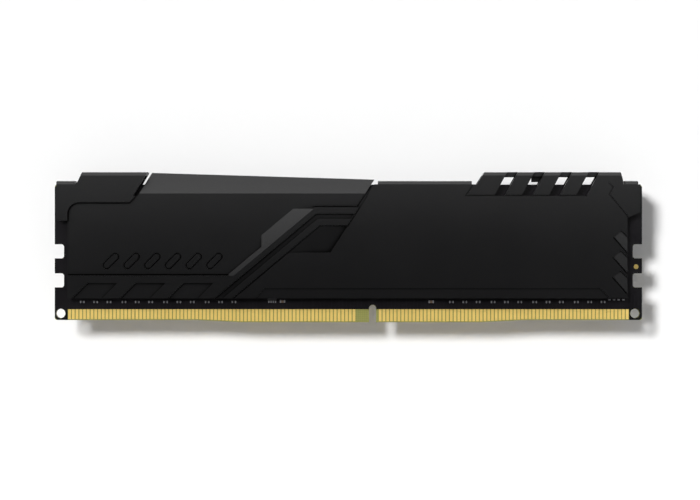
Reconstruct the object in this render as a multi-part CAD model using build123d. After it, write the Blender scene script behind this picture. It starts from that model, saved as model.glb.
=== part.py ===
from build123d import *
import os
from math import atan2, cos, degrees, radians, sin, sqrt, tan

# Desktop memory module: a standard full-length circuit board with 288 edge contacts, eight memory
# packages on each side, and two stamped aluminium heat spreaders that fold over its top edge.
# Millimetres. X runs along the board, Z is up and the contact edge is at the bottom. The origin is
# the middle of the contact edge, on the middle plane of the board, and the front faces -Y.
# A "depth" below is a distance from that middle plane, outward on either side.

# ---- circuit board -------------------------------------------------------------------------------
board_length = 133.35
board_height = 31.25
board_thickness = 1.4
mask_thickness = 0.04            # solder mask, one layer on each side
board_corner_radius = 0.6
edge_step = 0.5                  # the two ends of the contact edge lie this much above its middle
edge_ramp = 10.2                 # length of the slope between the two levels
edge_middle_left = -24.2         # ends of the low middle stretch
edge_middle_right = 30.2
latch_notch_z = (9.5, 16.1)      # centres of the two notches in each end
latch_notch_height = 3.2
latch_notch_depth = 2.1
latch_notch_radius = 0.6
corner_hole_diameter = 2.1
corner_hole_z = 2.0
corner_hole_inset_left = 1.35    # hole centre to the end of the board
corner_hole_inset_right = 1.6
key_x = 5.5                      # keying slot in the contact edge
key_width = 1.6
key_height = 3.95

# ---- edge contacts -------------------------------------------------------------------------------
contact_pitch = 0.85
contact_width = 0.6
contact_thickness = 0.05
contact_top_z = 2.95
contact_edge_gap = 0.2           # bare laminate between a contact and the edge of the board
contact_key_gap_left = 4.225     # middle of the key to the nearest contact on its left and right
contact_key_gap_right = 1.725
contact_end_inset = 3.35         # outermost contacts, from the ends of the board
bare_zone_margin = 0.425         # stretch without solder mask, past the outermost contacts
test_pad_inset = 1.335           # round gold pad between the right-hand notches
test_pad_z = 12.6
test_pad_diameter = 1.0
test_pad_opening = 1.1

# ---- memory packages -----------------------------------------------------------------------------
package_width = 7.5
package_length = 11.0            # upright
package_body = 0.85
package_edge = 0.1               # chamfer round the outer face of a package
package_standoff = 0.25          # height of the solder ball field
package_z = 18.4                 # middle of the packages
package_first_x = 17.4
package_end_inset = 9.675        # outermost packages, from the ends of the board
packages_per_half = 4
ball_field_columns = 2
ball_field_width = 2.0
ball_field_margin = 0.7

# ---- small parts ---------------------------------------------------------------------------------
chip_length = 1.0                # resistor or capacitor, over its end caps
chip_width = 0.5
chip_cap = 0.25                  # length of one tinned end cap
resistor_height = 0.35
capacitor_height = 0.5
resistor_z = 4.6
resistor_pitch = 3.03
resistors_in_group = 3
resistor_groups = 4
resistor_group_pitch = 9.45
resistor_inset_left = 6.275      # outermost resistors of the two runs, from the ends of the board
resistor_inset_right = 8.865
bypass_left_gap = 11.04           # two larger capacitors between the runs, from the nearest resistor
bypass_right_gap = 4.6
bypass_left_z = 4.75
bypass_right_z = 4.65
bypass_size = 1.2                # against the chip size above
terminator_end_inset = 4.275     # last of four upright resistors, from the right end of the board
terminator_pitch = 1.05
terminator_count = 4
terminator_z = 5.45
decoupling_rows = 2              # capacitors between neighbouring memory packages
decoupling_row_pitch = 4.6
eeprom_x = -17.3
eeprom_bottom_z = 4.9
eeprom_width = 2.0
eeprom_length = 3.0
eeprom_height = 0.75
eeprom_leads = 4
eeprom_lead_pitch = 0.5
eeprom_lead_width = 0.28
eeprom_lead_length = 0.5
eeprom_lead_thickness = 0.2

# ---- heat spreaders ------------------------------------------------------------------------------
thermal_pad_thickness = 0.6
thermal_pad_margin = 0.5         # how far a pad reaches past the packages
panel_thickness = 1.2            # sheet at its full level
recess_depth = 0.6               # the left panel is stamped back by this much
panel_bottom_z = 5.45
panel_left_inset = 3.15          # ends of the lower panel, from the ends of the board
panel_right_inset = 3.6
wing_inset = 0.65                # the upper corners reach further out
wing_left_drop = 8.2             # foot of the left wing, below the top edge of the board
wing_right_drop = 7.6
wing_right_slope = 1.3
fold_drop = 2.7                  # the folded crown starts this far below the top of the board
low_flange = 0.8                 # low flanges lie on the top edge of the board
crown_rise = 2.8                 # top of the high folds, above the top edge of the board
crown_flange = 0.8
bend_radius = 0.85
bend_inner_radius = 0.25
seam_gap = 0.2                   # between the two spreaders, over the middle of the board
rake = 57.0                      # degrees from horizontal of the raked ends and of the panel border
crown_rake = 59.5                # and of the slot beside the long bevel
edge_break = 0.3                 # corner radius of the wings

# folds along the top, from left to right
fold_1_right = -61.95            # low flange on the left wing
fold_2_left = -60.2              # first high fold, with one sloped and one raked end
fold_2_left_run = 1.1
fold_2_right = -45.43
crown_slot = 0.95                # raked slot between that fold and the long bevel
bevel_drop = 2.05                # the bevel starts this far below the top edge of the board
bevel_tilt = 24.0                # degrees back from upright
bevel_right = 5.9
bevel_flange = 0.7               # narrow top of the bevel; it slopes down to the right
bevel_round = 0.4                # radius of its front edge
bevel_left_clearance = 1.99      # its underside above the board, at either end
bevel_right_clearance = 0.44
bevel_gap = 0.8                  # notch between the bevel and the middle low fold
fold_4_right = 27.9
fold_5_gap = 1.1                 # gap between low fold and comb, at the top of the board
fold_5_right = 61.6
fold_5_right_run = 0.5
fold_6_gap = 0.5
fold_6_inset = 0.5               # its flange ends this far inside the wing

# comb of raked slots in the right-hand fold
slot_count = 4
slot_first_x = 34.4              # left edge of the first slot, level with the top of the board
slot_pitch = 6.15
slot_width = 2.4
slot_rake = 60.9
slot_foot = 0.1                  # the slots end this far above the foot of the fold
comb_line_left = 26.6            # foot of the line that frames the comb
comb_line_depth = 0.2

# stamped relief of the outer face
band_angle = 39.9                # degrees from horizontal of the diagonal band and strips
band_corner_x = -7.8             # upper right corner of the bright band
band_top_z = 25.75
band_width = 3.0                 # square to the diagonal
band_narrow_width = 1.0
band_shoulder_x = -19.65         # where the band narrows
frame_line_z = 10.6              # lower edge of the recessed left panel
strip_top_z = 26.05              # upper edge of the two strips where they run level
strip_width = 1.2
strip_level_width = 1.44         # the upper strip, where it runs level
groove_width = 1.15
groove_depth = 0.5
seam_width = 0.35
seam_depth = 0.3
seam_pair_pitch = 0.6
border_x = -4.05                 # foot of the raked border of the right panel
border_z = 15.8
dark_top_depth = 0.15            # sunken facet: depth at its upper left and slope to the lower right
dark_slope = 7.0
dark_height = 6.0
contour_left_x = -63.55          # stepped contour of the upper left corner
contour_z = 27.2
contour_radius = 2.7
contour_knee_x = -49.5
contour_knee_angle = 45.0
contour_right = ((58.8, 0.2), (59.65, -0.6), (58.8, -2.3), (62.4, -6.6))  # x, height over the board
contour_right_depth = 0.15
contour_left_depth = 0.12        # line along the foot of the left contour, below its floor
hatch_count = 3                  # raked windows along the lower left edge
hatch_first_x = -58.95
hatch_pitch = 10.85
hatch_width = 6.7
hatch_top_z = 8.9
hatch_depth = 0.4
hatch_angle = 45.0
sill_top_z = 7.7                 # long shallow recess along the lower right edge
sill_left = -18.9
sill_right = 57.0
sill_depth = 0.2
sill_end_angle = 48.0
pill_count = 6                   # slanted raised pills on the left panel
pill_first_x = -53.7
pill_pitch = 4.68
pill_z = 13.9
pill_length = 3.95
pill_width = 1.25
pill_corner = 0.45               # cut off each corner
pill_height = 0.2                # above the panel
pill_groove = 0.25               # width and depth of the groove round each pill
pill_angle = 45.0
scale_count = 3                  # overlapping scales at the right edge, given by their left corner
scale_corner_x = 60.0
scale_first_z = 19.15
scale_pitch = 4.53
scale_drift = 0.1                # each one starts a little further left
scale_upper = (1.7, 1.7)         # from the left corner to the upper one
scale_lower = (3.3, -3.75)       # and to the lower one
scale_end_angle = 45.0           # fall of the edge that runs on from the upper corner
scale_depth = 0.3
scale_seam_depth = 0.3

# hooks and tongues that lock the two spreaders together
tongue_x = (-54.0, 16.5, 58.0)   # front tongues reach across the seam, back ones lie between them
back_tongue_x = (-49.0, 11.0, 22.0)
tongue_width = 3.0
tongue_reach = 0.9
tongue_clearance = 0.1
hook_x = 42.9                    # downward hook of the back spreader, seen through the second slot
hook_width = 2.6
hook_thickness = 0.8
hook_clearance = 0.6             # gap between the hook and the top edge of the board

# ---- values that follow --------------------------------------------------------------------------
half_length = board_length / 2
half_board = board_thickness / 2
core_face = half_board - mask_thickness
contact_outer_x = half_length - contact_end_inset
package_pitch = (half_length - package_end_inset - package_first_x) / (packages_per_half - 1)
package_top = half_board + package_standoff + package_body
inner_face = package_top + thermal_pad_thickness
outer_face = inner_face + panel_thickness
recess_floor = outer_face - recess_depth
fold_z = board_height - fold_drop
low_top = board_height + low_flange
crown_top = board_height + crown_rise
wing_x = half_length - wing_inset
panel_left = -half_length + panel_left_inset
panel_right = half_length - panel_right_inset
bevel_z = board_height - bevel_drop
last_slot_end = slot_first_x + (slot_count - 1) * slot_pitch + slot_width
far = 40.0                       # reach of a cutting shape past the sheet
over = 1.0                       # and past an edge that it only has to clear


# ---- helpers -------------------------------------------------------------------------------------
def outline(*points):
    """A face from front-view points (x, z)."""
    return make_face(Polyline(*points, close=True))


def slab(face, inner, outer):
    """A front-view face made solid between two depths, on the front side."""
    return extrude(Plane.XZ.offset(inner) * face, amount=outer - inner)


def block(x, z, width, height, inner, outer):
    """A box centred on (x, z) between two depths, on the front side."""
    return slab(Pos(x, z) * Rectangle(width, height), inner, outer)


def to_back(shape):
    """The same shape on the other side of the board."""
    return mirror(shape, about=Plane.XZ)


def rake_run(height, angle=rake):
    """Sideways run of a raked line over a height."""
    return height / tan(radians(angle))


def save(name, solids):
    """Write one named node; solids is one shape or a list of separate ones."""
    group = Compound(children=list(solids)) if isinstance(solids, list) else solids
    group.label = name
    export_step(group, f"parts/{name}.step")


# ---- circuit board -------------------------------------------------------------------------------
def edge_z(x):
    """Height of the contact edge at x."""
    past = max(edge_middle_left - x, x - edge_middle_right, 0)
    return edge_step * min(past / edge_ramp, 1)


def board_face(straight=False):
    """Outline of the board with its notches, key slot and corner holes; straight cuts every arc off."""
    face = outline(
        (-half_length, edge_step),
        (edge_middle_left - edge_ramp, edge_step),
        (edge_middle_left, 0),
        (edge_middle_right, 0),
        (edge_middle_right + edge_ramp, edge_step),
        (half_length, edge_step),
        (half_length, board_height),
        (-half_length, board_height),
    )
    ends = [v for v in face.vertices() if abs(v.X) > half_length - 0.01]
    notch = Rectangle(2 * latch_notch_depth, latch_notch_height)
    if straight:
        face = chamfer(ends, board_corner_radius)
        notch = chamfer(notch.vertices(), latch_notch_radius * (2 - sqrt(2)))
        hole = RegularPolygon(corner_hole_diameter / 2, 8, major_radius=False)
        key_end = RegularPolygon(key_width / 2, 8, major_radius=False, rotation=22.5)
    else:
        face = fillet(ends, board_corner_radius)
        notch = fillet(notch.vertices(), latch_notch_radius)
        hole = Circle(corner_hole_diameter / 2)
        key_end = Circle(key_width / 2)
    for end in (-half_length, half_length):
        for z in latch_notch_z:
            face -= Pos(end, z) * notch
    for x in (-half_length + corner_hole_inset_left, half_length - corner_hole_inset_right):
        face -= Pos(x, corner_hole_z) * hole
    key_top = key_height - key_width / 2
    face -= Pos(key_x, key_top) * key_end
    face -= Pos(key_x, key_top / 2) * Rectangle(key_width, key_top)
    return face


def circuit_board():
    """Laminate core with its copper planes, without the solder mask."""
    return slab(board_face(), -core_face, core_face)


def solder_mask(opening=None):
    """Mask of the front side, bare along the contacts and round a test pad."""
    bare_length = 2 * (contact_outer_x + bare_zone_margin)
    face = board_face(straight=True) - Pos(0, contact_top_z / 2) * Rectangle(bare_length, contact_top_z)
    if opening:
        face -= opening
    return slab(face, core_face, half_board)


def contact_places(start, end):
    """Contact middles from the one beside the key outward, as far as the last place before the end."""
    step = contact_pitch if end > start else -contact_pitch
    count = int(abs(end - start) / contact_pitch + 0.5) + 1
    return [start + i * step for i in range(count)]


def contacts():
    """Gold fingers of the front side, whose lower ends follow the contact edge."""
    left = contact_places(key_x - contact_key_gap_left, -contact_outer_x)
    right = contact_places(key_x + contact_key_gap_right, contact_outer_x)
    fingers = []
    for x in left[::-1] + right:
        low = edge_z(x) + contact_edge_gap
        height = contact_top_z - low
        z = low + height / 2
        fingers.append(block(x, z, contact_width, height, core_face, core_face + contact_thickness))
    return fingers


# ---- parts on the board --------------------------------------------------------------------------
def package_places():
    """Middle of each memory package, from left to right."""
    right = [package_first_x + i * package_pitch for i in range(packages_per_half)]
    return [-x for x in reversed(right)] + right


def memory_package(x):
    """Moulded package over the low fields of solder balls that carry it."""
    floor = half_board + package_standoff
    body = block(x, package_z, package_width, package_length, floor, package_top)
    body = chamfer(body.faces().sort_by(Axis.Y)[0].edges(), package_edge)
    spread = package_width - 2 * ball_field_margin - ball_field_width
    for i in range(ball_field_columns):
        offset = spread * (i / (ball_field_columns - 1) - 0.5)
        height = package_length - 2 * ball_field_margin
        body += block(x + offset, package_z, ball_field_width, height, half_board, floor)
    return body


def chip(x, z, height, upright=False, size=1.0):
    """Body and two end caps of a chip resistor or capacitor."""
    length = chip_length * size
    width = chip_width * size
    cap = chip_cap * size
    core = length - 2 * cap
    top = half_board + height
    step = (length - cap) / 2
    if upright:
        body = block(x, z, width, core, half_board, top)
        caps = [block(x, z + s * step, width, cap, half_board, top) for s in (-1, 1)]
    else:
        body = block(x, z, core, width, half_board, top)
        caps = [block(x + s * step, z, cap, width, half_board, top) for s in (-1, 1)]
    return body, caps


def resistor_runs():
    """First places of the two runs of resistors, and their common length."""
    run = (resistor_groups - 1) * resistor_group_pitch + (resistors_in_group - 1) * resistor_pitch
    return (-half_length + resistor_inset_left, half_length - resistor_inset_right - run), run


def bypass_capacitors():
    """Two larger capacitors between the runs of resistors, each placed from the end of its own run."""
    (left_start, right_start), run = resistor_runs()
    places = (
        (left_start + run + bypass_left_gap, bypass_left_z),
        (right_start - bypass_right_gap, bypass_right_z),
    )
    return [chip(x, z, capacitor_height, size=bypass_size) for x, z in places]


def series_resistors():
    """Two runs of resistors in groups of three, just above the contacts."""
    made = []
    for start in resistor_runs()[0]:
        for group in range(resistor_groups):
            for i in range(resistors_in_group):
                x = start + group * resistor_group_pitch + i * resistor_pitch
                made.append(chip(x, resistor_z, resistor_height))
    return made


def terminators():
    """Upright resistors at the right end of the resistor row."""
    last = half_length - terminator_end_inset
    places = [last - i * terminator_pitch for i in range(terminator_count)]
    return [chip(x, terminator_z, resistor_height, upright=True) for x in places]


def decoupling_capacitors():
    """Capacitors in the gaps between neighbouring memory packages."""
    made = []
    places = package_places()
    for left, right in zip(places, places[1:]):
        if right - left > package_pitch * 1.5:
            continue
        for row in range(decoupling_rows):
            z = package_z + (row - (decoupling_rows - 1) / 2) * decoupling_row_pitch
            made.append(chip((left + right) / 2, z, capacitor_height, upright=True))
    return made


def eeprom_body():
    """Small memory chip that tells the host what the module is."""
    z = eeprom_bottom_z + eeprom_length / 2
    body = block(eeprom_x, z, eeprom_width, eeprom_length, half_board, half_board + eeprom_height)
    return chamfer(body.faces().sort_by(Axis.Y)[0].edges(), package_edge)


def eeprom_pins():
    """Leads at the two short ends of the small chip."""
    pins = []
    top = half_board + eeprom_lead_thickness
    for i in range(eeprom_leads):
        x = eeprom_x + (i - (eeprom_leads - 1) / 2) * eeprom_lead_pitch
        low = eeprom_bottom_z - eeprom_lead_length / 2
        high = eeprom_bottom_z + eeprom_length + eeprom_lead_length / 2
        for z in (low, high):
            pins.append(block(x, z, eeprom_lead_width, eeprom_lead_length, half_board, top))
    return pins


def thermal_pad():
    """Soft pad between the packages and the inside of a heat spreader."""
    width = 2 * (package_places()[-1] + package_width / 2 + thermal_pad_margin)
    height = package_length + 2 * thermal_pad_margin
    return block(0, package_z, width, height, package_top, inner_face)


# ---- heat spreader: folded sheet -----------------------------------------------------------------
def panel():
    """Flat lower panel with its two wings."""
    wing_left_z = board_height - wing_left_drop
    wing_right_z = board_height - wing_right_drop
    face = outline(
        (panel_left, panel_bottom_z),
        (panel_right, panel_bottom_z),
        (panel_right, wing_right_z),
        (wing_x, wing_right_z + wing_right_slope),
        (wing_x, fold_z),
        (-wing_x, fold_z),
        (-wing_x, wing_left_z),
        (panel_left, wing_left_z),
    )
    corners = [v for v in face.vertices() if v.X < 0 and abs(v.Y - wing_left_z) < 0.01]
    return slab(fillet(corners, edge_break), inner_face, outer_face)


def fold(face, top_z, flange):
    """A stretch of crown: wall, bend and flange, trimmed to a front-view face."""
    box = face.bounding_box()
    seam = seam_gap / 2
    profile = make_face(
        Polyline(
            (-outer_face, fold_z),
            (-outer_face, top_z),
            (-seam, top_z),
            (-seam, top_z - flange),
            (-inner_face, top_z - flange),
            (-inner_face, fold_z),
            close=True,
        )
    )
    for depth, radius in ((outer_face, bend_radius), (inner_face, bend_inner_radius)):
        upper = [v for v in profile.vertices() if abs(v.X + depth) < 0.01 and v.Y > fold_z + 0.01]
        profile = fillet(upper, radius)
    sheet = extrude(Plane.YZ.offset(box.min.X - 1) * profile, amount=box.size.X + 2)
    return sheet & slab(face, 0, outer_face + far)


def left_low_fold():
    """Low flange on the left wing."""
    face = outline((-wing_x, fold_z), (fold_1_right, fold_z), (fold_1_right, low_top), (-wing_x, low_top))
    corner = [v for v in face.vertices() if v.X < -wing_x + 0.01 and v.Y > low_top - 0.01]
    return fold(fillet(corner, edge_break), low_top, low_flange)


def left_high_fold():
    """High fold whose raked right end stops a slot's width before the bevel."""
    face = outline(
        (fold_1_right, fold_z),
        (fold_2_right - rake_run(crown_top - fold_z, crown_rake), fold_z),
        (fold_2_right, crown_top),
        (fold_2_left, crown_top),
        (fold_2_left - fold_2_left_run, board_height + low_flange / 2),
        (fold_1_right, board_height),
    )
    return fold(face, crown_top, crown_flange)


def bevel_edges():
    """Top line of the long bevel: left x and z, right x and z."""
    left_top = board_height + bevel_left_clearance + bevel_flange
    right_top = board_height + bevel_right_clearance + bevel_flange
    left = fold_2_right + crown_slot - rake_run(crown_top - left_top, crown_rake)
    return left, left_top, bevel_right, right_top


def long_bevel():
    """Long facet that leans back to the middle of the board, with a narrow sloping top."""
    left, left_top, right, right_top = bevel_edges()
    slope = (left_top - right_top) / (right - left)
    foot_left = left - rake_run(left_top - fold_z, crown_rake)
    foot_right = right - rake_run(right_top - fold_z)
    reach = crown_top + crown_rise
    bevel_span = (right - left) / 2

    def wedge(depth, lift):
        """Everything behind the facet at a depth, and its front-view trim under the top line."""
        back = depth - (reach - bevel_z) * tan(radians(bevel_tilt))
        profile = make_face(
            Polyline(
                (-depth, fold_z - lift),
                (-depth, bevel_z),
                (-back, reach),
                (seam_gap, reach),
                (seam_gap, fold_z - lift),
                close=True,
            )
        )
        solid = extrude(Plane.YZ.offset(foot_left - 1) * profile, amount=right - foot_left + 2)
        trim = outline(
            (foot_left - lift, fold_z - lift),
            (foot_right + lift, fold_z - lift),
            (right + lift, right_top - lift - slope * lift),
            (left - lift, left_top - lift + slope * lift),
        )
        return solid & slab(trim, -far, far)

    outside = wedge(recess_floor, 0)
    upper = [e for e in outside.edges() if e.length > bevel_span and e.center().Z > board_height]
    outside = fillet(min(upper, key=lambda e: e.center().Y), bevel_round)
    sheet = outside - wedge(inner_face, bevel_flange)
    return sheet & slab(Rectangle(4 * half_length, 4 * crown_top), seam_gap / 2, far)


def middle_low_fold():
    """Low flange between the bevel and the comb; its left end is raked."""
    left = bevel_right + bevel_gap
    face = outline(
        (bevel_right - rake_run(low_top - fold_z), fold_z),
        (fold_4_right, fold_z),
        (fold_4_right, low_top),
        (left, low_top),
        (left, board_height),
        (bevel_right, board_height),
    )
    return fold(face, low_top, low_flange)


def comb_fold():
    """High fold that carries the comb of slots."""
    left = fold_4_right + fold_5_gap
    face = outline(
        (fold_4_right, fold_z),
        (fold_5_right + fold_5_right_run, fold_z),
        (fold_5_right + fold_5_right_run, low_top),
        (fold_5_right, crown_top),
        (left + rake_run(crown_top - board_height), crown_top),
        (left, board_height),
        (fold_4_right, board_height),
    )
    return fold(face, crown_top, crown_flange)


def right_low_fold():
    """Low flange on the right wing."""
    left = fold_5_right + fold_5_right_run
    right = wing_x - fold_6_inset
    face = outline(
        (left, fold_z),
        (wing_x, fold_z),
        (wing_x, board_height),
        (right, board_height),
        (right, low_top),
        (left + fold_6_gap, low_top),
        (left + fold_6_gap, board_height),
        (left, board_height),
    )
    corner = [v for v in face.vertices() if v.X > right - 0.01 and v.Y > low_top - 0.01]
    return fold(fillet(corner, edge_break), low_top, low_flange)


# ---- heat spreader: cut-outs and stamped relief ---------------------------------------------------
def comb_slots():
    """Raked slots through the wall and the bend; the flange behind them stays whole."""
    top = crown_top + over
    foot = fold_z + slot_foot
    cuts = []
    for i in range(slot_count):
        x = slot_first_x + i * slot_pitch
        low = x - rake_run(board_height - foot, slot_rake)
        high = x + rake_run(top - board_height, slot_rake)
        face = outline((low, foot), (low + slot_width, foot), (high + slot_width, top), (high, top))
        cuts.append(slab(face, inner_face, outer_face + far))
    return cuts


def diagonal_x(z, offset):
    """X at height z of the line that runs beside the band's lower right edge at an offset."""
    return band_corner_x + offset / sin(radians(band_angle)) - (band_top_z - z) / tan(radians(band_angle))


def border_line(z):
    """X at height z of the raked border of the right panel."""
    return border_x + rake_run(z - border_z)


def band_face():
    """Diagonal band in the front view: wide above, narrow below its shoulder."""
    wide = -band_width
    narrow = -band_narrow_width
    drop = tan(radians(band_angle))
    shoulder_high = band_top_z - (diagonal_x(band_top_z, wide) - band_shoulder_x) * drop
    shoulder_low = band_top_z - (diagonal_x(band_top_z, narrow) - band_shoulder_x) * drop
    return outline(
        (diagonal_x(band_top_z, 0), band_top_z),
        (diagonal_x(band_top_z, wide), band_top_z),
        (band_shoulder_x, shoulder_high),
        (band_shoulder_x, shoulder_low),
        (diagonal_x(frame_line_z, narrow), frame_line_z),
        (diagonal_x(frame_line_z, 0), frame_line_z),
    )


def recess_face():
    """Outline of the left panel, open at its left end."""
    knee_end = contour_knee_x + rake_run(bevel_z - contour_z, contour_knee_angle)
    face = outline(
        (contour_left_x, frame_line_z),
        (diagonal_x(frame_line_z, 0), frame_line_z),
        (diagonal_x(band_top_z, 0), band_top_z),
        (diagonal_x(band_top_z, 0), strip_top_z),
        (border_line(strip_top_z), strip_top_z),
        (border_line(bevel_z), bevel_z),
        (bevel_right, low_top),
        (fold_2_right, crown_top),
        (knee_end, bevel_z),
        (contour_knee_x, contour_z),
        (contour_left_x, contour_z),
    )
    corner = [v for v in face.vertices() if v.X < contour_left_x + 0.01 and v.Y > contour_z - 0.01]
    return fillet(corner, contour_radius)


def left_recess():
    """Left panel, stamped back inside its frame, with the band's ramp left standing."""
    step = outer_face - recess_floor
    cut = slab(recess_face(), recess_floor, outer_face + far)
    band = slab(band_face(), recess_floor, outer_face + step)
    along = (cos(radians(band_angle)), 0, sin(radians(band_angle)))
    tilt = step / band_width
    outward = (-tilt * sin(radians(band_angle)), -1, tilt * cos(radians(band_angle)))
    ramp = Plane(origin=(band_corner_x, -outer_face, band_top_z), x_dir=along, z_dir=outward)
    above = ramp * Box(far * 2, far * 2, far, align=(Align.CENTER, Align.CENTER, Align.MIN))
    return cut - band + (band & above)


def strip_groove():
    """Groove between the two strips; it turns level at its upper end."""
    low = panel_bottom_z - over
    inner = strip_width
    outer = strip_width + groove_width
    high_z = strip_top_z - strip_level_width
    low_z = high_z - groove_width
    face = outline(
        (diagonal_x(low, inner), low),
        (diagonal_x(high_z, inner), high_z),
        (border_line(high_z) - seam_width, high_z),
        (border_line(low_z) - seam_width, low_z),
        (diagonal_x(low_z, outer), low_z),
        (diagonal_x(low, outer), low),
    )
    return slab(face, outer_face - groove_depth, outer_face + far)


def seam(start, end, floor=outer_face - seam_depth):
    """A narrow stamped line from point to point, down to a floor depth."""
    run = Vector(*end) - Vector(*start)
    middle = Vector(*start) + run / 2
    turn = degrees(atan2(run.Y, run.X))
    bar = Pos(middle.X, middle.Y) * Rot(0, 0, turn) * Rectangle(run.length + seam_width, seam_width)
    return slab(bar, floor, outer_face + far)


def seam_line(points, floor):
    """Seams from point to point."""
    return [seam(start, end, floor) for start, end in zip(points, points[1:])]


def panel_seams():
    """Lines beside the second strip and along the raked border of the right panel."""
    offset = 2 * strip_width + groove_width + seam_width
    low = panel_bottom_z - over
    top = border_z + dark_height
    side = seam((diagonal_x(low, offset), low), (diagonal_x(top, offset), top))
    level = seam((diagonal_x(top, offset), top), (border_line(top), top))
    border = seam((border_line(top), top), (border_line(fold_z), fold_z))
    shift = seam_pair_pitch / sin(radians(rake))
    foot_z = strip_top_z + seam_width / 2
    left_floor = recess_floor - seam_depth
    second = seam((border_line(foot_z) - shift, foot_z), (border_line(fold_z) - shift, fold_z), left_floor)
    ledge = seam((diagonal_x(band_top_z, 0), foot_z), (border_line(foot_z) - shift, foot_z), left_floor)
    frame_z = frame_line_z + seam_width / 2
    frame = seam((contour_left_x, frame_z), (diagonal_x(frame_z, -band_narrow_width), frame_z), left_floor)
    return [side, level, border, second, ledge, frame] + comb_lines()


def comb_lines():
    """Line up beside the comb's left end and along the foot of its fins."""
    foot_z = fold_z + seam_width / 2
    points = (
        (comb_line_left + rake_run(low_top - foot_z), low_top),
        (comb_line_left, foot_z),
        (last_slot_end - rake_run(board_height - foot_z, slot_rake), foot_z),
    )
    return seam_line(points, outer_face - comb_line_depth)


def contour_seams():
    """Lines at the foot of the left panel's outline and of the step in the upper right corner."""
    face = recess_face()
    rim = face - offset(face, amount=-seam_width)
    clear = outline(
        (contour_knee_x, frame_line_z + seam_width),
        (panel_right, frame_line_z + seam_width),
        (panel_right, crown_top),
        (fold_2_right, crown_top),
        (contour_knee_x, contour_z - seam_width * 2),
    )
    left = slab(rim - clear - band_face(), recess_floor - contour_left_depth, outer_face)
    half = seam_width / 2
    right = [(x + half, board_height + rise) for x, rise in contour_right]
    right.append((panel_right + half, board_height - wing_right_drop))
    return [left] + seam_line(right, outer_face - contour_right_depth)


def dark_facet():
    """Sunken facet under the strips, which slopes inward to the lower right."""
    offset = 2 * strip_width + groove_width + seam_width
    top = border_z + dark_height
    face = outline(
        (diagonal_x(border_z, offset), border_z),
        (border_line(border_z), border_z),
        (border_line(top), top),
        (diagonal_x(top, offset), top),
    )
    along = (cos(radians(band_angle)), 0, sin(radians(band_angle)))
    tilt = tan(radians(dark_slope))
    outward = (tilt * sin(radians(band_angle)), -1, -tilt * cos(radians(band_angle)))
    origin = (diagonal_x(top, offset), -(outer_face - dark_top_depth), top)
    floor = Plane(origin=origin, x_dir=along, z_dir=outward)
    above = floor * Box(far * 2, far * 2, far, align=(Align.CENTER, Align.CENTER, Align.MIN))
    return slab(face, inner_face + seam_depth, outer_face + far / 2) & above


def hatch_windows():
    """Raked shallow windows along the lower left edge."""
    low = panel_bottom_z - over
    run = rake_run(hatch_top_z - low, hatch_angle)
    cuts = []
    for i in range(hatch_count):
        x = hatch_first_x + i * hatch_pitch
        face = outline(
            (x, hatch_top_z),
            (x - run, low),
            (x - run + hatch_width, low),
            (x + hatch_width, hatch_top_z),
        )
        cuts.append(slab(face, outer_face - hatch_depth, outer_face + far))
    return cuts


def sill():
    """Long shallow recess along the lower edge, with sloped ends."""
    low = panel_bottom_z - over
    run = rake_run(sill_top_z - low, sill_end_angle)
    face = outline(
        (sill_left, sill_top_z),
        (sill_left - run, low),
        (sill_right + run, low),
        (sill_right, sill_top_z),
    )
    return slab(face, outer_face - sill_depth, outer_face + far)


def pills(grow, inner, outer):
    """Slanted pills on the left panel between two depths, grown by a margin all round."""
    made = []
    for i in range(pill_count):
        bar = Rectangle(pill_length + 2 * grow, pill_width + 2 * grow)
        bar = chamfer(bar.vertices(), pill_corner)
        face = Pos(pill_first_x + i * pill_pitch, pill_z) * Rot(0, 0, pill_angle) * bar
        made.append(slab(face, inner, outer))
    return made


def scales():
    """Overlapping scales at the right edge, stamped back along their upper right side."""
    cuts = []
    edge = Vector(*scale_lower)
    width = abs(edge.X * scale_upper[1] - edge.Y * scale_upper[0]) / edge.length
    tilt = scale_depth / width
    along = edge.normalized()
    outward = (-tilt * along.Y, -1, tilt * along.X)
    for i in range(scale_count):
        x = scale_corner_x - i * scale_drift
        z = scale_first_z - i * scale_pitch
        lower = (x + scale_lower[0], z + scale_lower[1])
        upper = (x + scale_upper[0], z + scale_upper[1])
        right = panel_right + over
        end = upper[1] - (right - upper[0]) * tan(radians(scale_end_angle))
        face = outline((x, z), lower, (right, lower[1]), (right, end), upper)
        floor = Plane(origin=(x, -outer_face, z), x_dir=(along.X, 0, along.Y), z_dir=outward)
        above = floor * Box(far, far, far, align=(Align.CENTER, Align.CENTER, Align.MIN))
        cuts.append(slab(face, inner_face + seam_depth, outer_face + far / 4) & above)
        cuts.append(seam((x, z), lower, outer_face - scale_seam_depth))
    return cuts


def tongues(places, grow):
    """Tongues in the plane of the flanges that cross the seam; grow widens them into their slots."""
    made = []
    for x in places:
        low = abs(x - (bevel_right + fold_4_right) / 2) < (fold_4_right - bevel_right) / 2
        top = low_top if low else crown_top
        thickness = low_flange if low else crown_flange
        width = tongue_width + 2 * grow
        made.append(block(x, top - thickness / 2, width, thickness, -(tongue_reach + grow), seam_gap))
    return made


def heat_spreader():
    """One folded and stamped sheet, drawn on the front."""
    sheet = panel()
    left = [left_low_fold(), left_high_fold(), long_bevel()]
    right = [middle_low_fold(), comb_fold(), right_low_fold()]
    for piece in left + right:
        sheet += piece
    for cut in comb_slots() + [left_recess(), strip_groove(), dark_facet(), sill()]:
        sheet -= cut
    for cut in panel_seams() + hatch_windows() + contour_seams() + scales():
        sheet -= cut
    floor = recess_floor - pill_groove
    for groove in pills(pill_groove, floor, outer_face + far):
        sheet -= groove
    for pill in pills(0, floor - pill_groove / 2, recess_floor + pill_height):
        sheet += pill
    return sheet


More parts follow.
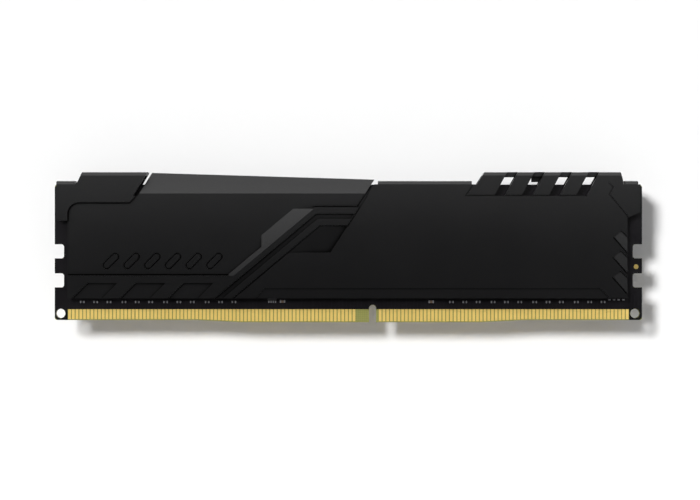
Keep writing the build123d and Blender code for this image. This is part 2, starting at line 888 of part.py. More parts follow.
def lock(sheet, own, other):
    """Add a spreader's own tongues and open the slots for those of the other one."""
    for tongue in tongues(own, 0):
        sheet += tongue
    for tongue in tongues(other, tongue_clearance):
        sheet -= to_back(tongue)
    return sheet


def hook():
    """Short hook under the crown flange, near the seam."""
    top = crown_top - crown_flange
    foot = board_height + hook_clearance
    inner = seam_gap / 2
    return block(hook_x, (top + foot) / 2, hook_width, top - foot, inner, inner + hook_thickness)


# ---- build ---------------------------------------------------------------------------------------
os.makedirs("parts", exist_ok=True)

pad_place = Pos(half_length - test_pad_inset, test_pad_z)
save("circuit_board", circuit_board())
save("solder_mask_front", solder_mask(pad_place * Circle(test_pad_opening / 2)))
save("solder_mask_back", to_back(solder_mask()))
save("test_pad", slab(pad_place * Circle(test_pad_diameter / 2), core_face, core_face + contact_thickness))
save("contacts_front", contacts())
save("contacts_back", [to_back(finger) for finger in contacts()])

for number, x in enumerate(package_places(), start=1):
    save(f"memory_chip_front_{number}", memory_package(x))
    save(f"memory_chip_back_{number}", to_back(memory_package(x)))

save("spd_chip", eeprom_body())
save("spd_chip_leads", eeprom_pins())


def save_chips(name, chips, back=False):
    """Write the bodies and the end caps of a set of chip parts as two nodes."""
    side = to_back if back else (lambda shape: shape)
    save(name, [side(body) for body, caps in chips])
    save(name + "_end_caps", [side(cap) for body, caps in chips for cap in caps])


save_chips("series_resistors_front", series_resistors())
save_chips("series_resistors_back", series_resistors(), back=True)
save_chips("terminating_resistors", terminators())
save_chips("bypass_capacitors", bypass_capacitors())
save_chips("decoupling_capacitors_front", decoupling_capacitors())
save_chips("decoupling_capacitors_back", decoupling_capacitors(), back=True)

save("thermal_pad_front", thermal_pad())
save("thermal_pad_back", to_back(thermal_pad()))

save("heat_spreader_front", lock(heat_spreader(), tongue_x, back_tongue_x))
save("heat_spreader_back", to_back(lock(heat_spreader(), back_tongue_x, tongue_x) + hook()))
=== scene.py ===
# %% [markdown]
# # A memory module with folded heat spreaders
# This lesson dresses a finished CAD model of a computer memory module: a circuit board with gold edge
# contacts, small parts soldered on it, and two folded sheets of black aluminium. The shapes are done,
# so all of the work is in the materials and the light. The first cell loads the model and measures it.

import bpy
import math
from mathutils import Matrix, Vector


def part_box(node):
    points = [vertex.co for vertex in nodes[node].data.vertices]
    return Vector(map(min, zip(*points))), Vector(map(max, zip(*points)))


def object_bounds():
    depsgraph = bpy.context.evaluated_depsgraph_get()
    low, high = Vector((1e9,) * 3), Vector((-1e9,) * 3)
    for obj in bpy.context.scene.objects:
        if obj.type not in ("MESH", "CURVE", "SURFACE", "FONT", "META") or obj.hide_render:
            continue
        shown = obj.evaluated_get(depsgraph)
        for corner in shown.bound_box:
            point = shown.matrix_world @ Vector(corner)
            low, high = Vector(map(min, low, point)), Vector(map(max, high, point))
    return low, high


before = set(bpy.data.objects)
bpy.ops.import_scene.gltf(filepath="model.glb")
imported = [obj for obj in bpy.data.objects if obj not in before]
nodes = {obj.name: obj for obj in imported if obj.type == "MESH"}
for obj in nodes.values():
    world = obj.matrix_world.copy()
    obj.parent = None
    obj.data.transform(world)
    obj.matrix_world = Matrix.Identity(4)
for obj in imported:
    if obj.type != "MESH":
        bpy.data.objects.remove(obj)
cad_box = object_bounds()
MM = 0.001


def in_mm(box):
    """The two corners of a box in rounded millimetres, for printing."""
    return [[round(v / MM, 2) for v in corner] for corner in box]


print("nodes:", len(nodes), "box in mm:", in_mm(cad_box))

# %% [markdown]
# ## Helpers for shader nodes
# A material is a small network of nodes. Writing each node by hand takes many lines, so a few helpers
# do it. The first adds a node and fills or links its inputs. The second does the same for a Math node,
# whose inputs have numbers instead of names. Others start a node group with named inputs and outputs,
# place it in a material, and start a material. A group is how an effect is made once and then used with
# different values.

# %% Node helpers
def add(tree, kind, inputs=None, **settings):
    """Add a shader node; a value given as a socket is linked, any other is set."""
    made = tree.nodes.new("ShaderNode" + kind)
    for name, value in settings.items():
        setattr(made, name, value)
    for name, value in (inputs or {}).items():
        socket = made.inputs[name]
        if isinstance(value, bpy.types.NodeSocket):
            tree.links.new(value, socket)
        else:
            socket.default_value = value
    return made


def calc(tree, operation, *values):
    """One step of arithmetic; returns its output."""
    return add(tree, "Math", dict(enumerate(values)), operation=operation).outputs[0]


def new_group(name, inputs, outputs):
    """A node group with sockets given as {name: default}; a tuple default makes a vector socket."""
    group = bpy.data.node_groups.new(name, "ShaderNodeTree")
    for label, value in inputs.items():
        kind = "NodeSocketVector" if isinstance(value, tuple) else "NodeSocketFloat"
        group.interface.new_socket(label, in_out="INPUT", socket_type=kind).default_value = value
    for label in outputs:
        group.interface.new_socket(label, in_out="OUTPUT", socket_type="NodeSocketFloat")
    entry = group.nodes.new("NodeGroupInput").outputs
    leave = group.nodes.new("NodeGroupOutput").inputs
    return group, entry, leave


def place(tree, group, **values):
    """Use a group in a material; names with spaces are written with underscores."""
    made = tree.nodes.new("ShaderNodeGroup")
    made.node_tree = group
    for name, value in values.items():
        made.inputs[name.replace("_", " ")].default_value = value
    return made.outputs


def new_material(name, **constants):
    """A material with one Principled shader, whose unchanging values are set on its own sockets."""
    material = bpy.data.materials.new(name)
    material.use_nodes = True
    shader = material.node_tree.nodes["Principled BSDF"]
    for label, value in constants.items():
        shader.inputs[label.replace("_", " ")].default_value = value
    return material, material.node_tree, shader.inputs


def blend(tree, mask, low, high):
    """Mix two colours by a mask."""
    made = add(tree, "Mix", data_type="RGBA")
    for socket, value in zip((made.inputs[0], made.inputs[6], made.inputs[7]), (mask, low, high)):
        if isinstance(value, bpy.types.NodeSocket):
            tree.links.new(value, socket)
        else:
            socket.default_value = value
    return made.outputs[2]


def srgb(red, green, blue):
    """A colour picked on the screen, from 0 to 255, in the linear values that nodes use."""
    shares = [v / 255 for v in (red, green, blue)]
    linear = [v / 12.92 if v <= 0.04045 else ((v + 0.055) / 1.055) ** 2.4 for v in shares]
    return (*linear, 1.0)


def spread(tree, value, low, high, start=0.0, end=1.0):
    """Map a value smoothly from the range start..end to low..high."""
    inputs = {"Value": value, "From Min": start, "From Max": end, "To Min": low, "To Max": high}
    return add(tree, "MapRange", inputs, interpolation_type="SMOOTHSTEP").outputs[0]


print("helpers ready")

# %% [markdown]
# ## Grain
# Every surface here has a fine grain, whether it is blasted metal, moulded plastic or cured lacquer. One
# group makes it. It reads object coordinates, which are metres, so a size in millimetres stays true on
# any part. Noise gives the height, and a second, wider noise gives slow patches, because a finish that
# is even everywhere looks painted on.

# %% Grain group
grain_inputs = {"Size": 0.1 * MM, "Patch Size": 8 * MM, "Stretch": (1.0, 1.0, 1.0)}
grain, entry, leave = new_group("surface grain", grain_inputs, ["Height", "Patches"])
where = add(grain, "TexCoord").outputs["Object"]
stretched = add(grain, "VectorMath", {0: where, 1: entry["Stretch"]}, operation="MULTIPLY").outputs[0]
fine_scale = calc(grain, "DIVIDE", 1.0, entry["Size"])
wide_scale = calc(grain, "DIVIDE", 1.0, entry["Patch Size"])
fine = add(grain, "TexNoise", {"Vector": stretched, "Scale": fine_scale, "Detail": 3.0})
wide = add(grain, "TexNoise", {"Vector": stretched, "Scale": wide_scale, "Detail": 4.0})
grain.links.new(fine.outputs[0], leave["Height"])
grain.links.new(wide.outputs[0], leave["Patches"])
print("group:", grain.name)

# %% [markdown]
# ## Worn edges
# Plating is rubbed brighter on its edges. The Bevel node looks at the surface round each point, and its
# normal turns near an edge. The group compares it with the true normal: where they differ, there is an
# edge, and a noise breaks the wear up so that it isn't an even line. Modelled rounds of a few
# hundredths of a millimetre would cost many faces. For the same reason the materials pass a Bevel
# node's normal to their Bump nodes, which makes sharp edges catch the light as if they were slightly
# rounded.

# %% Edge group
RUB_SCALE = 900.0
RUB_LEVEL = 1.25
edge_inputs = {"Radius": 0.08 * MM, "Start": 0.02, "End": 0.2, "Break Up": 0.5}
edges, entry, leave = new_group("worn edges", edge_inputs, ["Mask"])
rounded = add(edges, "Bevel", {"Radius": entry["Radius"]}, samples=6).outputs[0]
true_normal = add(edges, "NewGeometry").outputs["Normal"]
same = add(edges, "VectorMath", {0: rounded, 1: true_normal}, operation="DOT_PRODUCT").outputs["Value"]
turned = calc(edges, "SUBTRACT", 1.0, same)
where = add(edges, "TexCoord").outputs["Object"]
rub = add(edges, "TexNoise", {"Vector": where, "Scale": RUB_SCALE, "Detail": 5.0}).outputs[0]
rubbed = calc(edges, "MULTIPLY", rub, entry["Break Up"])
kept = calc(edges, "MULTIPLY", turned, calc(edges, "SUBTRACT", RUB_LEVEL, rubbed))
mask = add(edges, "MapRange", {"Value": kept, "From Min": entry["Start"], "From Max": entry["End"]})
edges.links.new(mask.outputs[0], leave["Mask"])
print("group:", edges.name)

# %% [markdown]
# ## Painted shade in crevices
# Stamped lines and corners look darker than the faces beside them, because less light gets in. This
# group lets the materials paint that shade into their colour. The Ambient Occlusion node measures how
# much of the sky a point can see within a short reach. The group turns that into a mask for the painted
# shade: 1 on open faces, falling to 0 deep in a groove.

# %% Painted crevice shade group
# Painted shade: this mask darkens crevices in the materials that use it, in place of the light that doesn't
# reach them.
crevice_shade, entry, leave = new_group("dark crevices", {"Reach": 1.0 * MM, "Closed": 0.4}, ["Open"])
occlusion = add(crevice_shade, "AmbientOcclusion", {"Distance": entry["Reach"]}, samples=8, only_local=True)
sky = occlusion.outputs["AO"]
crevice_shade.links.new(spread(crevice_shade, sky, 0.0, 1.0, entry["Closed"], 0.97), leave["Open"])
print("group:", crevice_shade.name)

# %% [markdown]
# ## Dust
# Nothing that has been handled is perfectly clean. Dust settles on faces that look up, in uneven
# flecks. The group takes the upward part of the normal and breaks it with fine noise. It is used at a
# very low strength.

# %% Dust group
dust, entry, leave = new_group("fine dust", {"Amount": 0.5, "Size": 0.25 * MM}, ["Mask"])
upward = add(dust, "SeparateXYZ", {0: add(dust, "NewGeometry").outputs["Normal"]}).outputs["Z"]
where = add(dust, "TexCoord").outputs["Object"]
fleck_scale = calc(dust, "DIVIDE", 1.0, entry["Size"])
noise = add(dust, "TexNoise", {"Vector": where, "Scale": fleck_scale, "Detail": 6.0}).outputs[0]
lying = spread(dust, upward, 0.15, 1.0, -0.2, 1.0)
flecks = spread(dust, noise, 0.0, 1.0, 0.5, 0.75)
settled = calc(dust, "MULTIPLY", lying, flecks)
dust.links.new(calc(dust, "MULTIPLY", settled, entry["Amount"]), leave["Mask"])
print("group:", dust.name)

# %% [markdown]
# ## Black anodised aluminium
# The heat spreaders are stamped sheet, blasted to a fine satin and dyed black in the anodic layer. That
# layer is a clear, hard oxide with dye in it, so it reflects like a lacquer and not like bare metal: on
# open faces the shader isn't metallic, its colour is nearly black, and what we see is mostly the soft
# reflection. Facets that tilt to the light look much lighter than those beside them, and that only
# works if the roughness is low enough to keep the reflection together. In crevices the shade is
# painted in: the crevice mask darkens the colour, and because the specular level stays the same
# everywhere, it also raises Metallic, since a metal with a nearly black colour reflects nearly
# nothing. That paints out the reflection there as well.

# %% Anodised sheet
SHEET_EDGE = 0.03 * MM
DUST_TINT = 0.06
DUST_DULLING = 0.15
CREVICE_SHADE_METAL = 0.75
anodised, tree, slots = new_material("anodised black", IOR=1.5, Specular_IOR_Level=0.24)
texture = place(tree, grain, Size=0.09 * MM, Patch_Size=14 * MM)
dusty = place(tree, dust, Amount=0.35)["Mask"]
open_face = place(tree, crevice_shade, Reach=1.3 * MM, Closed=0.4)["Open"]
dye = blend(tree, texture["Patches"], srgb(9, 9, 10), srgb(11, 11, 12))
# Painted shade: the crevice mask darkens the dye towards near black in grooves and corners.
dye_with_painted_shade = blend(tree, open_face, srgb(3, 3, 3), dye)
tint = calc(tree, "MULTIPLY", dusty, DUST_TINT)
tree.links.new(blend(tree, tint, dye_with_painted_shade, srgb(150, 148, 144)), slots["Base Color"])
# Painted shade: Metallic rises in crevices, so the nearly black colour there reflects almost nothing.
closed = calc(tree, "SUBTRACT", 1.0, open_face)
tree.links.new(calc(tree, "MULTIPLY", closed, CREVICE_SHADE_METAL), slots["Metallic"])
satin = spread(tree, texture["Patches"], 0.315, 0.33, 0.3, 0.7)
dull = calc(tree, "MULTIPLY", dusty, DUST_DULLING)
tree.links.new(calc(tree, "ADD", satin, dull), slots["Roughness"])
soft_edge = add(tree, "Bevel", {"Radius": SHEET_EDGE}, samples=6).outputs[0]
blast = {"Strength": 0.25, "Distance": 0.004 * MM, "Height": texture["Height"], "Normal": soft_edge}
tree.links.new(add(tree, "Bump", blast).outputs[0], slots["Normal"])
print("material:", anodised.name)

# %% [markdown]
# ## Copper traces under the solder mask
# Above each gold contact a thin copper trace runs up the board under the mask and ends in a plated
# hole, a via. The mask is a thin black film, so the copper shows as low relief. Drawing hundreds of
# traces as meshes would be wasteful, so a group draws them with arithmetic: the distance to the nearest
# contact's middle gives the line, and a random number for each contact sets where its trace ends.

# %% Trace group
trace_inputs = {
    "First": 0.0,
    "Pitch": 0.85 * MM,
    "Width": 0.13 * MM,
    "Foot": 3 * MM,
    "Shortest": 0.5 * MM,
    "Longest": 4 * MM,
    "Via Radius": 0.25 * MM,
}
traces, entry, leave = new_group("copper traces", trace_inputs, ["Copper", "Hole"])
where = add(traces, "SeparateXYZ", {0: add(traces, "TexCoord").outputs["Object"]}).outputs
count = calc(traces, "DIVIDE", calc(traces, "SUBTRACT", where["X"], entry["First"]), entry["Pitch"])
number = calc(traces, "ROUND", count)
off_by = calc(traces, "SUBTRACT", count, number)
aside = calc(traces, "ABSOLUTE", calc(traces, "MULTIPLY", off_by, entry["Pitch"]))
chance = add(traces, "TexWhiteNoise", {"W": number}, noise_dimensions="1D").outputs["Value"]
reach = calc(traces, "MULTIPLY", chance, calc(traces, "SUBTRACT", entry["Longest"], entry["Shortest"]))
end = calc(traces, "ADD", calc(traces, "ADD", entry["Foot"], entry["Shortest"]), reach)
below = calc(traces, "LESS_THAN", where["Z"], end)
half_width = calc(traces, "MULTIPLY", entry["Width"], 0.5)
line = calc(traces, "MULTIPLY", calc(traces, "LESS_THAN", aside, half_width), below)
rise = calc(traces, "SUBTRACT", where["Z"], end)
across = calc(traces, "MULTIPLY", aside, aside)
along = calc(traces, "MULTIPLY", rise, rise)
away = calc(traces, "SQRT", calc(traces, "ADD", across, along))
ring = calc(traces, "LESS_THAN", away, entry["Via Radius"])
hole_radius = calc(traces, "MULTIPLY", entry["Via Radius"], 0.5)
hole = calc(traces, "LESS_THAN", away, hole_radius)
traces.links.new(calc(traces, "MAXIMUM", line, ring), leave["Copper"])
traces.links.new(hole, leave["Hole"])
print("group:", traces.name)

# %% [markdown]
# ## Solder mask
# The mask is a glossy black lacquer with a touch of blue. It takes the relief of the traces through a
# Bump node, and the copper makes it a shade lighter. The via holes are coloured nearly black, which is
# painted shade for the inside of the holes. The first trace starts at the first contact, so its place
# is read from the contacts' box.

# %% Mask material
HALF_CONTACT = 0.3 * MM
CONTACT_TOP = 2.9 * MM
COPPER_TINT = 0.5
HOLE_DEPTH = 1.6
ORANGE_PEEL = 0.25
mask_black, tree, slots = new_material("solder mask black", IOR=1.5, Specular_IOR_Level=0.12)
first_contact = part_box("contacts_front")[0].x + HALF_CONTACT
copper = place(tree, traces, First=first_contact, Foot=CONTACT_TOP)
texture = place(tree, grain, Size=0.4 * MM, Patch_Size=6 * MM)
film = blend(tree, texture["Patches"], srgb(15, 14, 16), srgb(19, 17, 20))
film = blend(tree, calc(tree, "MULTIPLY", copper["Copper"], COPPER_TINT), film, srgb(24, 23, 27))
# Painted shade: each via hole is coloured nearly black for the shade inside it.
tree.links.new(blend(tree, copper["Hole"], film, srgb(6, 6, 7)), slots["Base Color"])
tree.links.new(spread(tree, texture["Patches"], 0.28, 0.4, 0.3, 0.7), slots["Roughness"])
relief = calc(tree, "SUBTRACT", copper["Copper"], calc(tree, "MULTIPLY", copper["Hole"], HOLE_DEPTH))
relief = calc(tree, "ADD", relief, calc(tree, "MULTIPLY", texture["Height"], ORANGE_PEEL))
raised = add(tree, "Bump", {"Strength": 0.6, "Distance": 0.02 * MM, "Height": relief})
tree.links.new(raised.outputs[0], slots["Normal"])
print("material:", mask_black.name)

# %% [markdown]
# ## Laminate
# Where the mask stops, the bare board shows: glass cloth in epoxy, olive with a fine square weave. On
# its edges the layers show as thin lines. Two crossed Wave textures make the weave, and a third, which
# runs through the thickness, makes the layers. The surface normal tells a face from an edge and picks
# between them.

# %% Laminate material
WEAVE_SCALE = 700.0
LAYER_SCALE = 1800.0
laminate, tree, slots = new_material("glass laminate", IOR=1.52)
where = add(tree, "TexCoord").outputs["Object"]
yarn = {"Vector": where, "Scale": WEAVE_SCALE, "Distortion": 0.6, "Detail": 1.0}
warp = add(tree, "TexWave", yarn, bands_direction="X").outputs[1]
weft = add(tree, "TexWave", yarn, bands_direction="Z").outputs[1]
weave = calc(tree, "MULTIPLY", calc(tree, "ADD", warp, weft), 0.5)
ply = {"Vector": where, "Scale": LAYER_SCALE, "Distortion": 0.3}
layers = add(tree, "TexWave", ply, bands_direction="Y").outputs[1]
facing = add(tree, "SeparateXYZ", {0: add(tree, "NewGeometry").outputs["Normal"]}).outputs
face_on = spread(tree, calc(tree, "ABSOLUTE", facing["Y"]), 0.0, 1.0, 0.3, 0.7)
cloth = blend(tree, weave, srgb(117, 118, 54), srgb(137, 137, 67))
stack = blend(tree, layers, srgb(66, 60, 34), srgb(118, 112, 66))
tree.links.new(blend(tree, face_on, stack, cloth), slots["Base Color"])
texture = place(tree, grain, Size=0.2 * MM, Patch_Size=5 * MM)
tree.links.new(spread(tree, texture["Patches"], 0.42, 0.6, 0.3, 0.7), slots["Roughness"])
yarns = calc(tree, "MULTIPLY", weave, face_on)
woven = calc(tree, "ADD", yarns, calc(tree, "MULTIPLY", texture["Height"], 0.5))
raised = add(tree, "Bump", {"Strength": 0.4, "Distance": 0.01 * MM, "Height": woven})
tree.links.new(raised.outputs[0], slots["Normal"])
print("material:", laminate.name)

# %% [markdown]
# ## Gold contacts
# The contacts carry hard gold over nickel. It is a real metal, so the shader is mostly metallic and its
# colour tints the reflection. The plating is a little matt, with fine vertical marks from being pushed
# into sockets when the module was tested. Metallic stays a little under 1, so that the contacts keep
# some colour where nothing bright stands in front of them.

# %% Gold material
WEAR_TINT = 0.35
CONTACT_EDGE = 0.03 * MM
gold, tree, slots = new_material("hard gold", Metallic=0.7)
texture = place(tree, grain, Size=0.12 * MM, Patch_Size=1.2 * MM, Stretch=(1.0, 1.0, 0.12))
warm = blend(tree, texture["Patches"], srgb(218, 188, 104), srgb(225, 196, 114))
wear = place(tree, edges, Radius=0.04 * MM, Start=0.05, End=0.4, Break_Up=0.6)["Mask"]
rubbed_bright = calc(tree, "MULTIPLY", wear, WEAR_TINT)
tree.links.new(blend(tree, rubbed_bright, warm, srgb(250, 226, 170)), slots["Base Color"])
tree.links.new(spread(tree, texture["Height"], 0.5, 0.6, 0.3, 0.7), slots["Roughness"])
soft_edge = add(tree, "Bevel", {"Radius": CONTACT_EDGE}, samples=4).outputs[0]
scuff = {"Strength": 0.15, "Distance": 0.004 * MM, "Height": texture["Height"], "Normal": soft_edge}
tree.links.new(add(tree, "Bump", scuff).outputs[0], slots["Normal"])
print("material:", gold.name)

# %% [markdown]
# ## Small parts
# The small parts on the board are ceramic blocks with tinned ends. The tin is bright and lumpy where
# the solder froze. The resistors have a black glass coat, and the capacitors are bare brown ceramic.
# The memory packages are moulded epoxy, the pads that lead their heat away are soft silicone, and the
# round test pad is gold that probes have dulled. They differ in colour, roughness and grain only, so
# one function makes them all.

# %% Materials of the small parts
PATCH_TO_GRAIN = 8


def small_part(name, dark, light, rough, size, bump, metallic=0.0):
    """A finish that varies with the grain between two colours and two roughnesses."""
    material, tree, slots = new_material(name, Metallic=metallic)
    texture = place(tree, grain, Size=size, Patch_Size=size * PATCH_TO_GRAIN)
    tree.links.new(blend(tree, texture["Patches"], dark, light), slots["Base Color"])
    tree.links.new(spread(tree, texture["Height"], *rough, 0.3, 0.7), slots["Roughness"])
    soft_edge = add(tree, "Bevel", {"Radius": 0.06 * MM}, samples=4).outputs[0]
    lumps = {"Strength": bump, "Distance": 0.02 * MM, "Height": texture["Height"], "Normal": soft_edge}
    tree.links.new(add(tree, "Bump", lumps).outputs[0], slots["Normal"])
    return material


PLATED = 0.7
tin = small_part(
    "tinned ends",
    srgb(118, 118, 121),
    srgb(168, 168, 171),
    rough=(0.3, 0.5),
    size=0.15 * MM,
    bump=0.5,
    metallic=PLATED,
)
resistor = small_part(
    "resistor glass", srgb(16, 16, 18), srgb(26, 26, 29), rough=(0.25, 0.4), size=0.12 * MM, bump=0.2
)
capacitor = small_part(
    "capacitor ceramic", srgb(74, 60, 48), srgb(98, 80, 64), rough=(0.5, 0.7), size=0.1 * MM, bump=0.3
)
epoxy = small_part(
    "moulded epoxy", srgb(24, 24, 26), srgb(34, 34, 36), rough=(0.45, 0.62), size=0.08 * MM, bump=0.5
)
silicone = small_part(
    "silicone pad", srgb(112, 122, 136), srgb(134, 143, 156), rough=(0.7, 0.85), size=0.15 * MM, bump=0.6
)
probed = small_part(
    "probed gold",
    srgb(140, 120, 68),
    srgb(170, 146, 84),
    rough=(0.4, 0.55),
    size=0.1 * MM,
    bump=0.4,
    metallic=PLATED,
)
print("small-part materials:", [m.name for m in (tin, resistor, capacitor, epoxy, silicone, probed)])

# %% [markdown]
# ## Give each part its finish
# The model's record names a material slot for each part. One table turns those slots into the materials
# made above, and a loop fills every slot of every part. The test pad shares the contacts' slot name, so
# it gets its own finish afterwards. The meshes stay as they are.

# %% Assign the materials
finishes = {
    "anodised_black": anodised,
    "solder_mask": mask_black,
    "laminate": laminate,
    "contact_gold": gold,
    "package_black": epoxy,
    "tinned_metal": tin,
    "resistor_body": resistor,
    "capacitor_body": capacitor,
    "thermal_pad": silicone,
}
for part in nodes.values():
    for slot in part.material_slots:
        slot.material = finishes[slot.material.name.split(".")[0]]
nodes["test_pad"].material_slots[0].material = probed
print("dressed:", len(nodes), "parts in", len(finishes), "finishes")

# %% [markdown]
# ## Backdrop and floor
# The module hangs just in front of an upright white sheet, so its shadow lands close beside it, down
# and to the right. A studio sheet is one curved surface: a wall that turns into the floor. It is built
# as a strip of points swept sideways, and a second, flat strip just below its foot carries the floor on
# to the front and to the back. The paper is white to the camera, but passes less light on to its
# surroundings, which keeps the shadow deep. Where it faces up it also has a glow of its own, because
# the lamps shine mostly on the upright part. From behind, the sheet is clear, so that the back of the
# module can be seen. It throws no shadow and isn't seen in reflections: a white wall mirrored in black
# metal would turn the metal grey.

# %% Studio sheet
WALL_Y = 12 * MM
FLOOR_Z = -50 * MM
FLOOR_GAP = 0.2 * MM
COVE = 36 * MM
COVE_STEPS = 12
SHEET_TOP = 3.0
SHEET_REACH = 6.0
FLOOR_GLOW = 0.75
WHITE = (1.0, 1.0, 1.0, 1.0)


def paper(name, floor_glow):
    """White paper that keeps shadows; its back is clear, and where it faces up it has a glow of its own."""
    material = bpy.data.materials.new(name)
    material.use_nodes = True
    tree = material.node_tree
    tree.nodes.clear()
    path = add(tree, "LightPath").outputs
    mirrored = calc(tree, "MAXIMUM", path["Is Glossy Ray"], path["Is Transmission Ray"])
    seen = calc(tree, "MAXIMUM", path["Is Camera Ray"], mirrored)
    where = add(tree, "TexCoord").outputs["Object"]
    fibre = add(tree, "TexNoise", {"Vector": where, "Scale": 40.0, "Detail": 4.0}).outputs[0]
    pulp = blend(tree, fibre, (0.56, 0.56, 0.56, 1.0), (0.6, 0.6, 0.6, 1.0))
    colour = blend(tree, seen, pulp, WHITE)
    sheet = add(tree, "BsdfDiffuse", {"Color": colour}).outputs[0]
    upward = add(tree, "SeparateXYZ", {0: add(tree, "NewGeometry").outputs["Normal"]}).outputs["Z"]
    glow = calc(tree, "MULTIPLY", seen, spread(tree, upward, 0.0, floor_glow, 0.1, 0.9))
    light = add(tree, "Emission", {"Strength": glow}).outputs[0]
    front = add(tree, "AddShader", {0: sheet, 1: light}).outputs[0]
    clear = add(tree, "BsdfTransparent").outputs[0]
    back = add(tree, "NewGeometry").outputs["Backfacing"]
    result = add(tree, "MixShader", {0: back, 1: front, 2: clear}).outputs[0]
    out = tree.nodes.new("ShaderNodeOutputMaterial")
    tree.links.new(result, out.inputs["Surface"])
    return material


def sweep(name, profile, half_width, material):
    """A sheet whose side view is a line of (y, z) points, drawn sideways to a width."""
    mesh = bpy.data.meshes.new(name)
    points = [(side * half_width, y, z) for y, z in profile for side in (-1, 1)]
    faces = [(2 * i, 2 * i + 2, 2 * i + 3, 2 * i + 1) for i in range(len(profile) - 1)]
    mesh.from_pydata(points, [], faces)
    mesh.polygons.foreach_set("use_smooth", [True] * len(faces))
    mesh.materials.append(material)
    sheet = bpy.data.objects.new(name, mesh)
    bpy.context.scene.collection.objects.link(sheet)
    return sheet


bend = [math.radians(90 * i / COVE_STEPS) for i in range(COVE_STEPS + 1)]
cove = [(WALL_Y - COVE + COVE * math.cos(a), FLOOR_Z + COVE - COVE * math.sin(a)) for a in bend]
ground = FLOOR_Z - FLOOR_GAP
white = paper("studio paper", FLOOR_GLOW)
backdrop = sweep("studio_sheet", [(WALL_Y, SHEET_TOP)] + cove, SHEET_REACH, white)
floor = sweep("studio_floor", [(SHEET_REACH, ground), (-SHEET_REACH, ground)], SHEET_REACH, white)
for sheet in (backdrop, floor):
    sheet.visible_shadow = False
    sheet.visible_glossy = False
print("sheet stands", WALL_Y / MM, "mm behind the middle of the board")

# %% [markdown]
# ## Two kinds of lamps
# Satin black parts are shown by what they reflect, while paper and gold need plain light, so two kinds
# of lamps share the work. Suns light and shade, but leave no highlight. Lamp panels are the opposite:
# they are seen in reflections only, so they can be as bright as the black sheet needs without washing
# out the pale parts. A panel is given by the angles between which it is seen from the module, because
# those angles decide which facets reflect it. Its energy follows from its size, so that a panel of any
# size looks equally bright.

# %% Lamp makers
BOX_WIDTH = 0.7
SIDE_WIDTH = 0.3
middle = (cad_box[0] + cad_box[1]) / 2


def hang(name, lamp, position, direction):
    """Put a lamp in the scene, shining in a direction."""
    holder = bpy.data.objects.new(name, lamp)
    holder.location = position
    holder.rotation_euler = Vector(direction).to_track_quat("-Z", "Y").to_euler()
    bpy.context.scene.collection.objects.link(holder)
    return holder


def soft_box(name, bearing, low, high, distance, radiance, width=BOX_WIDTH):
    """A panel seen in reflections only, from a low to a high angle; bearing 0 is in front."""
    lamp = bpy.data.lights.new(name, "AREA")
    lamp.shape = "RECTANGLE"
    lamp.size = width
    lamp.size_y = 2 * distance * math.tan(math.radians((high - low) / 2))
    lamp.energy = radiance * math.pi * lamp.size * lamp.size_y
    rise = math.radians((low + high) / 2)
    turned = math.radians(bearing)
    level = distance * math.cos(rise)
    away = Vector((level * math.sin(turned), -level * math.cos(turned), distance * math.sin(rise)))
    box = hang(name, lamp, middle + away, -away)
    box.visible_diffuse = False


def sun(name, direction, strength, softness):
    """A distant lamp that lights and shades, but leaves no highlight."""
    lamp = bpy.data.lights.new(name, "SUN")
    lamp.energy = strength
    lamp.angle = math.radians(softness)
    far_lamp = hang(name, lamp, (0, 0, 0), direction)
    far_lamp.visible_glossy = False


print("lamp makers ready, panels stand round", [round(v / MM, 1) for v in middle])

# %% [markdown]
# ## Light
# A soft sun from the upper left gives the shadow its direction, a very wide one fills it, and a third
# lights the back. Their sum is set so that a white card facing the camera renders just white. The
# panels above the front give the leaning facet, the bends and the plate their greys, and the same set
# stands behind. Wide ones at the sides, the ends and overhead show the shapes from other directions.
# The world is white where the camera looks straight at it, and dim for everything else.

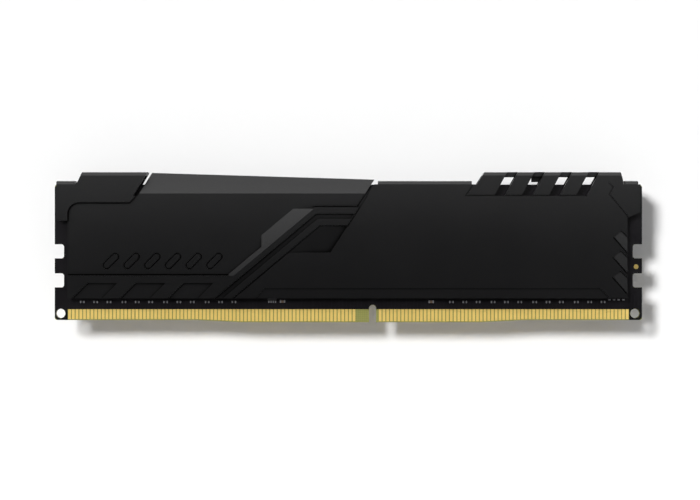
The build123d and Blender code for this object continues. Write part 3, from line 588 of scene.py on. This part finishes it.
# %% Lamps and world
DIM = (0.03, 0.03, 0.03, 1.0)
sun("key_sun", direction=(0.37, 1.0, -0.305), strength=2.55, softness=10.5)
sun("fill_sun", direction=(0.0, 1.0, -0.6), strength=0.42, softness=80.0)
sun("back_sun", direction=(-0.3, -1.0, -0.08), strength=2.0, softness=10.0)
for face, bearing in (("front", 0), ("back", 180)):
    soft_box(face + "_top_box", bearing, low=40, high=70, distance=0.18, radiance=2.9)
    soft_box(face + "_upper_box", bearing, low=25, high=45, distance=0.08, radiance=4.6)
    soft_box(face + "_near_box", bearing, low=10, high=28, distance=0.06, radiance=0.78)
    for side, aside in (("left", -50), ("right", 50)):
        name = face + "_" + side + "_box"
        soft_box(name, bearing + aside, low=-40, high=20, distance=0.35, radiance=1.5, width=SIDE_WIDTH)
soft_box("overhead_box", 0, low=70, high=110, distance=0.3, radiance=2.4)
for end, bearing in (("left", -90), ("right", 90)):
    soft_box(end + "_end_box", bearing, low=-20, high=50, distance=0.4, radiance=1.5, width=SIDE_WIDTH)
world = bpy.data.worlds.new("dim studio")
bpy.context.scene.world = world
world.use_nodes = True
sky_tree = world.node_tree
looked_at = add(sky_tree, "LightPath").outputs["Is Camera Ray"]
sky_colour = blend(sky_tree, looked_at, DIM, WHITE)
sky_tree.links.new(sky_colour, sky_tree.nodes["Background"].inputs["Color"])

# %% [markdown]
# ## Camera
# The module is seen straight from the front with a long lens. The camera looks along +Y from 600 mm in
# front of the spreader, level with the middle of the module.

# %% Camera
FOCAL_LENGTH = 136.53
CAMERA_X = 0.37 * MM
CAMERA_Z = 16.4 * MM
CAMERA_AWAY = 600 * MM
lens = bpy.data.cameras.new("camera")
lens.lens = FOCAL_LENGTH
lens.sensor_width = 36.0
lens.clip_start = 0.01
lens.clip_end = 50.0
camera = bpy.data.objects.new("camera", lens)
camera.location = (CAMERA_X, cad_box[0].y - CAMERA_AWAY, CAMERA_Z)
camera.rotation_euler = (math.radians(90), 0.0, 0.0)
bpy.context.scene.collection.objects.link(camera)
bpy.context.scene.camera = camera
bpy.context.scene.view_settings.view_transform = "Standard"
print("camera at", [round(v, 4) for v in camera.location])

# %% [markdown]
# ## Finish
# The dressed model must fill the same box as the CAD model. The last line updates the scene.

# %% Finish
bpy.context.view_layer.update()
